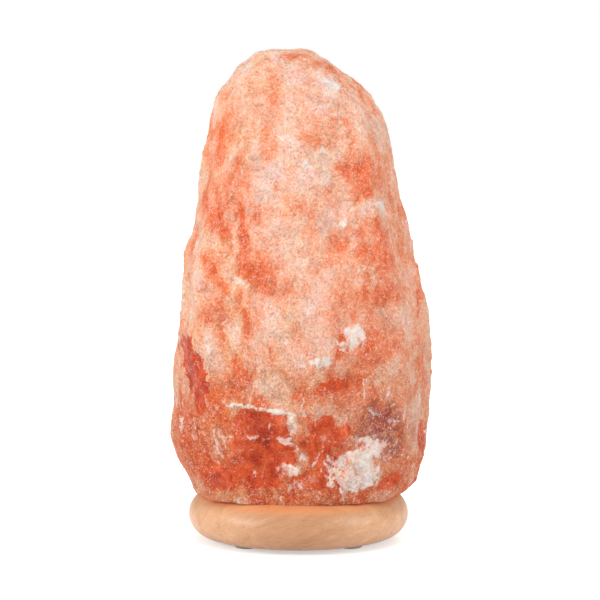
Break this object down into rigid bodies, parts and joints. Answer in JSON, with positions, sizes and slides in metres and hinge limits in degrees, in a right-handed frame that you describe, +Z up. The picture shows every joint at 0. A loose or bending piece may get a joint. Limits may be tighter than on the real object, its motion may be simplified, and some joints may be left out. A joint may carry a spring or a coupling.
{
  "type": "salt crystal lamp",
  "caption": "Table lamp of one hewn, pale orange rock salt crystal on a round wooden base, with a clip-in bulb holder that draws out from below.",
  "frame": {"origin": "on the surface that the lamp stands on, under the middle of the base", "axes": "+Z up, -Y towards the front of the lamp, and the cord channel leaves the base on +Y"},
  "size_m": [0.1568, 0.1349, 0.295],
  "materials": {
    "rock_salt": "hewn, matt and waxy",
    "beech": "turned and satin varnished",
    "pad_felt": "pressed felt",
    "zinc_steel": "zinc plated",
    "nylon": "moulded",
    "plate_steel": "nickel plated, pressed",
    "spring_steel": "rolled strip",
    "nipple_brass": "turned",
    "holder_black": "moulded phenolic",
    "block_ceramic": "unglazed",
    "contact_brass": "stamped",
    "shell_nickel": "nickel plated",
    "clear_glass": "clear",
    "cap_aluminium": "rolled",
    "black_glass": "moulded",
    "solder": "soft solder",
    "tungsten": "drawn wire"
  },
  "bodies": {
    "lamp_body": {"salt_crystal": "rock_salt", "wooden_base": "beech", "foot_pads": "pad_felt", "fixing_screws": "zinc_steel", "screw_plugs": "nylon"},
    "bulb_holder": {"clip_plate": "plate_steel", "clip_feet": "spring_steel", "clip_rivets": "zinc_steel", "entry_nipple": "nipple_brass", "nipple_nut": "nipple_brass", "holder_cap": "holder_black", "holder_sleeve": "holder_black", "contact_block": "block_ceramic", "screw_shell": "shell_nickel", "centre_contact": "contact_brass", "side_contact": "contact_brass", "terminal_screws": "zinc_steel"},
    "bulb_lift": {"bulb_contact": "solder"},
    "bulb_turning": {"bulb_glass": "clear_glass", "bulb_cap": "cap_aluminium", "bulb_insulator": "black_glass", "bulb_stem": "clear_glass", "filament_leads": "solder", "filament": "tungsten"},
    "clip_1": {"spring_clip_1": "spring_steel"},
    "clip_2": {"spring_clip_2": "spring_steel"},
    "clip_3": {"spring_clip_3": "spring_steel"}
  },
  "joints": [
    {"name": "holder_slide", "type": "slide", "parent": "lamp_body", "child": "bulb_holder", "axis": [0, 0, -1], "range_m": [0, 0.115]},
    {"name": "clip_1_flex", "type": "hinge", "parent": "bulb_holder", "child": "clip_1", "pos_m": [0.01732, 0.01, 0.01815], "axis": [0.5, -0.866, 0], "range_deg": [0, 8], "stiffness_Nm_per_rad": 0.5, "springref_deg": -5.73},
    {"name": "clip_2_flex", "type": "hinge", "parent": "bulb_holder", "child": "clip_2", "pos_m": [-0.01732, 0.01, 0.01815], "axis": [0.5, 0.866, 0], "range_deg": [0, 8], "stiffness_Nm_per_rad": 0.5, "springref_deg": -5.73},
    {"name": "clip_3_flex", "type": "hinge", "parent": "bulb_holder", "child": "clip_3", "pos_m": [0, -0.02, 0.01815], "axis": [-1, 0, 0], "range_deg": [0, 8], "stiffness_Nm_per_rad": 0.5, "springref_deg": -5.73},
    {"name": "bulb_rise", "type": "slide", "parent": "bulb_holder", "child": "bulb_lift", "axis": [0, 0, 1], "range_m": [0, 0.00846]},
    {"name": "bulb_turn", "type": "hinge", "parent": "bulb_lift", "child": "bulb_turning", "pos_m": [0, 0, 0.0645], "axis": [0, 0, 1], "range_deg": [0, 1081]}
  ],
  "couplings": [
    {"joint": "bulb_turn", "follows": "bulb_rise", "rad_per_m": 2228.1}
  ]
}
